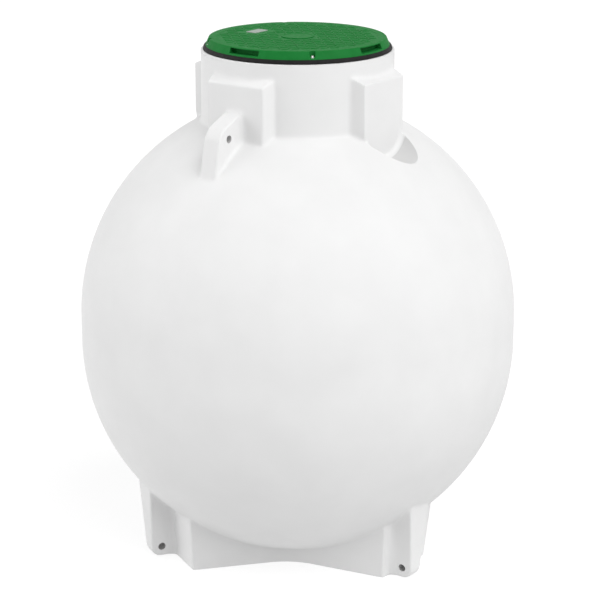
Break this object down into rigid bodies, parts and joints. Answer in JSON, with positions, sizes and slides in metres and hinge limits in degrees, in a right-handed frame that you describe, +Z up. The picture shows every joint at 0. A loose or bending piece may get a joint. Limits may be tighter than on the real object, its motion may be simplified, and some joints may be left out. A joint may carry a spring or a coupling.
{
  "type": "underground storage tank",
  "caption": "White ball-shaped underground plastic tank with a manhole neck, pipe recesses, lifting lugs, a three-armed foot with anchor lugs, and a green ribbed lid on a black seal.",
  "frame": {"origin": "on the ground, on the upright axis of the tank and its neck", "axes": "+Z up; a pipe pad and one arm of the foot face +X; a lifting lug faces -Y"},
  "size_m": [1.45, 1.45, 1.751],
  "materials": {
    "tank_plastic": "satin moulded",
    "seal_rubber": "matt",
    "lid_plastic": "satin moulded",
    "screw_steel": "galvanised",
    "plate_grey": "plain, bare"
  },
  "bodies": {
    "root": {"bowl_front": "tank_plastic", "bowl_right": "tank_plastic", "bowl_back": "tank_plastic", "bowl_left": "tank_plastic", "dome_front": "tank_plastic", "dome_right": "tank_plastic", "dome_back": "tank_plastic", "dome_left": "tank_plastic", "neck_front": "tank_plastic", "neck_right": "tank_plastic", "neck_back": "tank_plastic", "neck_left": "tank_plastic", "neck_rim": "tank_plastic", "lug_pad_front": "tank_plastic", "lug_pad_back": "tank_plastic", "pipe_pad_right": "tank_plastic", "pipe_pad_left": "tank_plastic", "pipe_recess_right": "tank_plastic", "pipe_recess_left": "tank_plastic", "lifting_lug_front": "tank_plastic", "lifting_lug_back": "tank_plastic", "base_arm_right": "tank_plastic", "anchor_lug_right": "tank_plastic", "base_arm_back": "tank_plastic", "anchor_lug_back": "tank_plastic", "base_arm_front": "tank_plastic", "anchor_lug_front": "tank_plastic", "seal_ring": "seal_rubber", "lid": "lid_plastic"}
  },
  "joints": []
}
